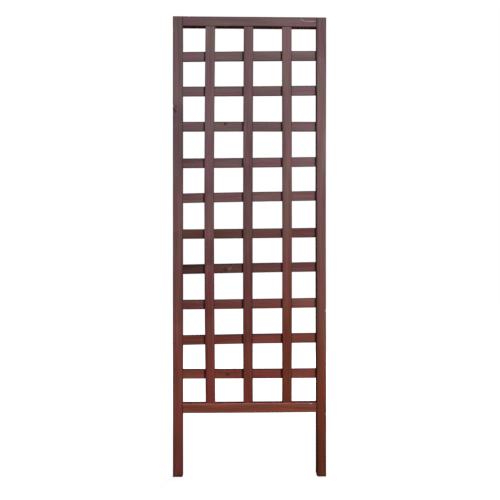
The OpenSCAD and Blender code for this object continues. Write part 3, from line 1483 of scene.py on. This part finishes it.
@dataclass
class RailScrews:
    """Four countersunk screws that hold one rail between the stiles.

    Attributes:
        row: Which rail they hold.
        finish: Their zinc.
        rim: Height of the head's straight rim.
        shank_radius: Radius of the shank.
        length: Length from the head's top to the tip.
        point: Length of the point.
        drive_span: Span of the cross drive.
        drive_bar: Width of its bars, as a share of a third of its span.
        drive_depth: Depth of the drive.
        drive_taper: Width of its floor, as a share of its mouth.
        sides: Sides of the turned shape.
        first_turn: Turn of the first screw's drive.
        next_turn: How much further each next one is turned.
    """

    row: ScrewRow
    finish: ZincSteel
    rim: float = 0.2 * MM
    shank_radius: float = 2.25 * MM
    length: float = 80.0 * MM
    point: float = 7.0 * MM
    drive_span: float = 4.6 * MM
    drive_bar: float = 0.62
    drive_depth: float = 1.8 * MM
    drive_taper: float = 0.7
    sides: int = 24
    first_turn: float = 0.3
    next_turn: float = 0.55

    def screw(self) -> Shape:
        """Makes one screw with its head's top at the origin, pointing down.

        Returns:
            The screw.
        """
        bm = bmesh.new()
        cone = HEAD_RADIUS - self.shank_radius
        outline = [(HEAD_RADIUS, 0.0), (HEAD_RADIUS, -self.rim), (self.shank_radius, -cone - self.rim),
                   (self.shank_radius, self.point - self.length), (0.0, -self.length)]
        points = [bm.verts.new((radius, 0.0, height)) for radius, height in outline]
        sides = [bm.edges.new(pair) for pair in zip(points, points[1:])]
        bmesh.ops.spin(bm, geom=[*points, *sides], axis=AXES[Z], cent=(0, 0, 0), angle=2 * math.pi,
                       steps=self.sides, use_merge=True)
        bmesh.ops.remove_doubles(bm, verts=bm.verts, dist=NEAR)
        rim = [edge for edge in bm.edges if edge.is_boundary]
        half = self.drive_span / 2
        cross = bmesh.ops.create_grid(bm, x_segments=3, y_segments=3, size=half)["verts"]
        for vert in cross:
            for axis in (X, Y):
                if not on(abs(vert.co[axis]), half):
                    vert.co[axis] *= self.drive_bar
        cells = list({face for vert in cross for face in vert.link_faces})
        corners = [face for face in cells
                   if all(abs(face.calc_center_median()[axis]) > half / 3 for axis in (X, Y))]
        bmesh.ops.delete(bm, geom=corners, context="FACES")
        wings = [face for face in cells if face.is_valid]
        brim = list({edge for face in wings for edge in face.edges if edge.is_boundary})
        bmesh.ops.bridge_loops(bm, edges=rim + brim)
        push_faces(bm, wings, Vector((0, 0, -self.drive_depth)))
        floor = [vert for vert in bm.verts if on(vert.co.z, -self.drive_depth)]
        bmesh.ops.scale(bm, verts=floor, vec=(self.drive_taper, self.drive_taper, 1.0))
        return bm

    def build(self) -> Piece:
        """Makes the four screws as one piece.

        Returns:
            The piece.
        """
        heads = [(side, place) for side in Side for place in self.row.places(side)]
        spots = [Matrix.Translation(place) @ Matrix.Rotation(side.value * QUARTER_TURN, 4, "Y")
                 @ Matrix.Rotation(self.first_turn + number * self.next_turn, 4, "Z")
                 for number, (side, place) in enumerate(heads)]
        bm = repeated(self.screw(), spots)
        node = self.row.node
        return new_piece(bm, f"{node}_set", node, self.finish.material(f"zinc_{node}"))


@dataclass
class CrossingStaples:
    """Staples down the back of one upright, one at each cross slat.

    Attributes:
        upright: Number of the upright, from the left.
        finish: Their zinc.
        crown: Length of the crown.
        wire: Side of the square wire.
        leg: Length of the legs.
        turn: How far the crown is turned from level.
    """

    upright: int
    finish: ZincSteel
    crown: float = 12.0 * MM
    wire: float = 1.2 * MM
    leg: float = 17.0 * MM
    turn: float = math.radians(45)

    BEND_SHARE, BEND_STEPS = 0.9, 3
    RIDGE_SHARE, RIDGE_STEPS = 0.18, 1
    RIDGE_ANGLE = 1.2
    RIDGE_FROM = 0.1

    def staple(self) -> Shape:
        """Makes one staple: its crown lies along X on the plane y = 0, its legs point along -Y.

        Returns:
            The staple.
        """
        bm = bmesh.new()
        wire, half = self.wire, self.crown / 2
        add_block(bm, (0, wire / 2, 0), (self.crown, wire, wire))
        for level in (wire - half, half - wire):
            score(bm, bm.faces, X, level)
        for low, high in ((-half, wire - half), (half - wire, half)):
            push_faces(bm, flat_faces(bm, Y, 0.0, {X: (low, high)}), Vector((0, -self.leg, 0)))
        bmesh.ops.recalc_face_normals(bm, faces=bm.faces)
        shoulders = [edge for edge in bm.edges
                     if all(on(abs(vert.co.x), half) and on(vert.co.y, wire) for vert in edge.verts)]
        round_off(bm, shoulders, self.BEND_SHARE * wire, self.BEND_STEPS)
        ridge = [edge for edge in bm.edges
                 if len(edge.link_faces) == 2 and edge.calc_face_angle(0.0) > self.RIDGE_ANGLE
                 and all(vert.co.y > self.RIDGE_FROM * wire for vert in edge.verts)]
        round_off(bm, ridge, self.RIDGE_SHARE * wire, self.RIDGE_STEPS)
        return bm

    def build(self) -> Piece:
        """Makes the upright's staples as one piece.

        Returns:
            The piece.
        """
        x = Box.of(f"upright_slat_{self.upright}").centre[X]
        slats = [Box.of(f"cross_slat_{number:02d}") for number in range(1, CROSS_COUNT + 1)]
        lean = Matrix.Rotation(self.turn, 4, "Y")
        bm = repeated(self.staple(), [
            Matrix.Translation((x, slat.high[Y], slat.centre[Z])) @ lean for slat in slats])
        node = f"crossing_staples_{self.upright}"
        return new_piece(bm, f"{node}_set", node, self.finish.material(f"zinc_{node}"))


@dataclass
class TrellisPanel:
    """The whole panel: frame, lattice and fasteners.

    Attributes:
        frame_edge: Radius on the long edges of stiles and rails.
        slat_edge: Radius on the long edges of the slats.
        slat_bow: Bend of the cross slats, up and down by turns.
    """

    frame_edge: float = 2.0 * MM
    slat_edge: float = 1.0 * MM
    slat_bow: float = 0.6 * MM

    def stiles(self) -> list[Stile]:
        """Lists the stiles.

        Returns:
            The left and the right stile.
        """
        left = StainedWood(
            Tone.MAROON, 11, 1.01, flank=0.20, splash=0.37, damp_foot=9 * MM,
            laps=(Lap(0.60, 0.96, 0.15), Lap(1.39, 1.46, 0.15)),
            knots=(Knot(1.436, -15 * MM, 4.2 * MM), Knot(1.4475, -8 * MM, 2.8 * MM, 0.8),
                   Knot(1.427, -8.5 * MM, 2.8 * MM)),
            scuffs=(Scuff((1.440, -12.5 * MM), (1.450, -10.0 * MM), 1.4 * MM, 0.5),))
        right = StainedWood(
            Tone.OLIVE, 12, 1.11, -0.04, flank=0.42, splash=0.44, damp_foot=6 * MM,
            laps=(Lap(1.25, 1.34, -0.08), Lap(1.64, 1.80, 0.13)))
        return [
            Stile("left_stile", "frame_wood", Grain.UP, left, self.frame_edge, side=Side.LEFT,
                  nicks=(Nick(1.450, (-1, -1), 9 * MM, 1.2 * MM),)),
            Stile("right_stile", "frame_wood", Grain.UP, right, self.frame_edge, -1.3 * MM, side=Side.RIGHT,
                  foot_chip=8 * MM, short=3 * MM,
                  nicks=(Nick(0.649, (1, -1), 11 * MM), Nick(0.245, (1, -1), 8 * MM, 1.4 * MM))),
        ]

    def rails(self) -> list[Rail]:
        """Lists the rails.

        Returns:
            The bottom and the top rail.
        """
        # The bottom rail's scuff near its upper edge is a painted highlight drawn with pale scratches.
        bottom = StainedWood(
            Tone.AMBER, 14, 1.0, 0.12, contrast=1.8, wander=16 * MM, waves=5.0, ring_pitch=6 * MM,
            bright_ledge=True, scuffs=(Scuff((0.231, 15.0 * MM), (0.247, 15.6 * MM), 2.2 * MM, 0.95),))
        top = StainedWood(Tone.PLUM, 13, 0.93, 0.12, scuffs=(
            Scuff((0.196, 12 * MM), (0.220, 1.0 * MM)), Scuff((0.212, 1.8 * MM), (0.262, 2.8 * MM))))
        return [
            Rail("bottom_rail", "frame_wood", Grain.ACROSS, bottom, self.frame_edge, -0.4 * MM,
                 (-0.8 * MM, 2.0 * MM), groove_up=True),
            Rail("top_rail", "frame_wood", Grain.ACROSS, top, self.frame_edge, ends=(0.0, -2.5 * MM),
                 nicks=(Nick(-0.236, (1, -1), 10 * MM, 0.7 * MM),)),
        ]

    def uprights(self, rails: list[Rail]) -> list[UprightSlat]:
        """Lists the uprights.

        Args:
            rails: The rails that they stand between.

        Returns:
            The three uprights, from the left.
        """
        stained = (
            (StainedWood(Tone.PLUM, 21, 1.04, flank=0.22, laps=(
                Lap(0.62, 0.80, 0.12), Lap(0.83, 0.93, 0.29), Lap(1.10, 1.34, 0.11))), -5.0, 2.0, 1.5),
            (StainedWood(Tone.UMBER, 22, 1.03, flank=0.10, laps=(
                Lap(0.52, 1.22, 0.21), Lap(1.55, 1.80, -0.07))), -2.0, -0.8, 1.0),
            (StainedWood(Tone.OLIVE, 23, 1.02, shelter=0.12, flank=0.28, laps=(
                Lap(0.28, 0.62, 0.07),)), 0.9, 1.2, 0.6),
        )
        slats = []
        for number, (finish, bow, low, high) in enumerate(stained, 1):
            node = f"upright_slat_{number}"
            seats = tuple(rail.stray(Box.of(node).centre[X]) for rail in rails)
            slats.append(UprightSlat(node, "upright_wood", Grain.UP, finish, self.slat_edge, bow * MM,
                                     (low * MM, high * MM), seats=seats))
        return slats

    def crosses(self) -> list[CrossSlat]:
        """Lists the cross slats.

        Returns:
            The ten cross slats, from the lowest.
        """
        # Each slat's fourth number darkens its left end: partly its tone, partly a painted falloff of the
        # light from the right.
        stained = (
            (StainedWood(Tone.RUSSET, 31, 0.92, 0.10, laps=(Lap(-0.12, -0.05, 0.06),),
                         knots=(Knot(-0.085, -1 * MM, 5 * MM, 0.7),)), 0.0, 2.0),
            (StainedWood(Tone.RUSSET, 32, 0.87, 0.22), -6.5, 2.5),
            (StainedWood(Tone.UMBER, 33, 1.08, 0.55), -6.0, 1.5),
            (StainedWood(Tone.SOOT, 34, 1.04, 0.72, -0.14, laps=(Lap(-0.28, -0.17, 0.12),),
                         knots=(Knot(-0.095, -4 * MM, 5 * MM, 0.6), Knot(-0.075, 15 * MM, 3 * MM, 0.8)),
                         scuffs=(Scuff((-0.087, 4 * MM), (-0.074, -11 * MM), 2.4 * MM, 0.36),
                                 Scuff((-0.079, 9 * MM), (-0.068, -6 * MM), 2.4 * MM, 0.32))), -6.0, 4.0),
            (StainedWood(Tone.SOOT, 35, 1.12, 0.20), -6.5, 0.0),
            (StainedWood(Tone.UMBER, 36, 1.12, 0.32), -4.5, 6.0),
            (StainedWood(Tone.UMBER, 37, 1.06, 0.44), -6.0, 1.0),
            (StainedWood(Tone.UMBER, 38, 1.10, 0.30, knots=(
                Knot(-0.096, 10 * MM, 3.5 * MM, 0.9),)), -1.0, 0.0),
            (StainedWood(Tone.PLUM, 39, 0.97, 0.16), -1.5, 3.7),
            (StainedWood(Tone.PLUM, 40, 1.02, 0.14), -4.5, 1.3),
        )
        return [CrossSlat(f"cross_slat_{number:02d}", "cross_wood", Grain.ACROSS, finish, self.slat_edge,
                          (-1) ** number * self.slat_bow, (left * MM, right * MM))
                for number, (finish, left, right) in enumerate(stained, 1)]

    def fasteners(self) -> list[RailScrews | CrossingStaples]:
        """Lists the screws and the staples.

        Returns:
            The five sets.
        """
        return [
            RailScrews(ScrewRow.TOP, ZincSteel(51)),
            RailScrews(ScrewRow.BOTTOM, ZincSteel(52)),
            *(CrossingStaples(number, ZincSteel(60 + number)) for number in range(1, UPRIGHT_COUNT + 1)),
        ]

    def build(self) -> list[Piece]:
        """Makes every piece of the panel.

        Returns:
            The pieces.
        """
        rails = self.rails()
        boards = (*self.stiles(), *rails, *self.uprights(rails), *self.crosses())
        return [part.build() for part in (*boards, *self.fasteners())]


@dataclass
class Studio:
    """Plain white studio: pale floor, a soft key light from the right, a weak fill behind, and the camera.

    Attributes:
        view_place: Where the camera stands.
        view_target: Point that it looks at.
        view_width: Width of the view at the target.
        sensor: Width of its sensor in millimetres.
        floor_side: Side of the square floor.
        floor_pale: Colour of the floor as it lights the panel.
        floor_shadowed: Colour of the part of the floor that shows shadows.
        shadow_glow: Glow of the floor at the panel, where shadows show, and further out.
        shadow_span: How far from the panel's middle that glow starts to rise and is full.
        ambient: Strength of the light from all round.
        key_place: Where the key light stands.
        key_side: Side of the square key light.
        key_power: Its power in watts.
        fill_place: Where the fill light stands.
        fill_side: Side of the square fill light.
        fill_power: Its power in watts.
    """

    view_place: tuple[float, float, float] = (-0.031, -3.019, 0.890)
    view_target: tuple[float, float, float] = (0.0015, -0.019, 0.887)
    view_width: float = 1.9545
    sensor: float = 36.0
    floor_side: float = 18.0
    floor_pale: Colour = (0.32, 0.32, 0.32, 1.0)
    floor_shadowed: Colour = (0.36, 0.36, 0.36, 1.0)
    shadow_glow: Span = (0.84, 1.0)
    shadow_span: Span = (0.7, 2.0)
    ambient: float = 0.22
    key_place: tuple[float, float, float] = (3.95, -6.88, 1.87)
    key_side: float = 2.4
    key_power: float = 566.0
    fill_place: tuple[float, float, float] = (1.1, 3.2, 1.7)
    fill_side: float = 1.6
    fill_power: float = 110.0

    def world(self) -> None:
        """Surrounds the panel with soft white light that looks white itself."""
        world = bpy.data.worlds.new("studio_white")
        bpy.context.scene.world = world
        wiring = Wiring(world)
        strength = wiring.ramp(wiring.seen_directly(), (0.0, 1.0, self.ambient, 1.0))
        light = wiring.node("Background", {"Color": WHITE, "Strength": strength})
        wiring.node("OutputWorld", {"Surface": light.outputs[0]})

    def floor_paint(self) -> bpy.types.Material:
        """Makes the floor's paint, which looks white but keeps the panel's shadow.

        Returns:
            The material.
        """
        wiring = Wiring(bpy.data.materials.new("pale_floor"))
        pale = wiring.node("BsdfDiffuse", {"Color": self.floor_pale})
        shadowed = wiring.node("BsdfDiffuse", {"Color": self.floor_shadowed})
        spot = wiring.node("TexCoord").outputs["Object"]
        distance = wiring.node("VectorMath", {0: spot}, operation="LENGTH").outputs["Value"]
        glow = wiring.ramp(distance, (*self.shadow_span, *self.shadow_glow))
        white = wiring.node("Emission", {"Strength": glow})
        seen = wiring.node("AddShader", {0: white.outputs[0], 1: shadowed.outputs[0]})
        either = wiring.node("MixShader", {
            0: wiring.seen_directly(), 1: pale.outputs[0], 2: seen.outputs[0]})
        wiring.node("OutputMaterial", {"Surface": either.outputs[0]})
        return wiring.owner

    def floor(self) -> bpy.types.Object:
        """Lays the pale floor.

        Returns:
            The floor.
        """
        bm = bmesh.new()
        bmesh.ops.create_grid(bm, x_segments=2, y_segments=2, size=self.floor_side / 2)
        mesh = bpy.data.meshes.new("studio_floor")
        bm.to_mesh(mesh)
        bm.free()
        mesh.materials.append(self.floor_paint())
        floor = bpy.data.objects.new("studio_floor", mesh)
        bpy.context.scene.collection.objects.link(floor)
        return floor

    def aim(self, name: str, data: bpy.types.Light | bpy.types.Camera, place: Vector,
            target: Vector) -> bpy.types.Object:
        """Sets up a light or a camera, turned to a point.

        Args:
            name: Name of the object.
            data: The light or the camera.
            place: Where it stands.
            target: Point that it is turned to.

        Returns:
            The object.
        """
        stand = bpy.data.objects.new(name, data)
        stand.location = place
        stand.rotation_euler = (target - place).to_track_quat("-Z", "Y").to_euler()
        bpy.context.scene.collection.objects.link(stand)
        return stand

    def lamp(self, name: str, place: Sequence[float], side: float, power: float) -> bpy.types.Object:
        """Sets up one soft square light, turned to the middle of the panel.

        Args:
            name: Name of the light.
            place: Where it stands.
            side: Its side.
            power: Its power in watts.

        Returns:
            The light.
        """
        data = bpy.data.lights.new(name, "AREA")
        data.shape = "SQUARE"
        data.size = side
        data.energy = power
        return self.aim(name, data, Vector(place), (CAD_BOX[0] + CAD_BOX[1]) / 2)

    def camera(self) -> bpy.types.Object:
        """Sets the camera in front of the panel, a little left of its middle.

        Returns:
            The camera.
        """
        place, target = Vector(self.view_place), Vector(self.view_target)
        data = bpy.data.cameras.new("front_view")
        data.sensor_width = self.sensor
        data.lens = self.sensor * (target - place).length / self.view_width
        camera = self.aim("front_view", data, place, target)
        bpy.context.scene.camera = camera
        return camera

    def build(self) -> None:
        """Sets up the whole studio."""
        bpy.context.scene.view_settings.view_transform = "Standard"
        self.world()
        self.floor()
        self.lamp("key_light", self.key_place, self.key_side, self.key_power)
        self.lamp("fill_light", self.fill_place, self.fill_side, self.fill_power)
        self.camera()
        LOG.info("studio: floor, two lights and camera")


def main() -> None:
    """Builds the studio and the panel, and reports each piece."""
    logging.basicConfig(level=logging.INFO, format="%(name)s: %(message)s")
    Studio().build()
    pieces = TrellisPanel().build()
    for piece in pieces:
        LOG.info("%s: %d faces", piece.name, len(piece.data.polygons))
    LOG.info("panel: %d pieces", len(pieces))


if __name__ == "__main__":
    main()
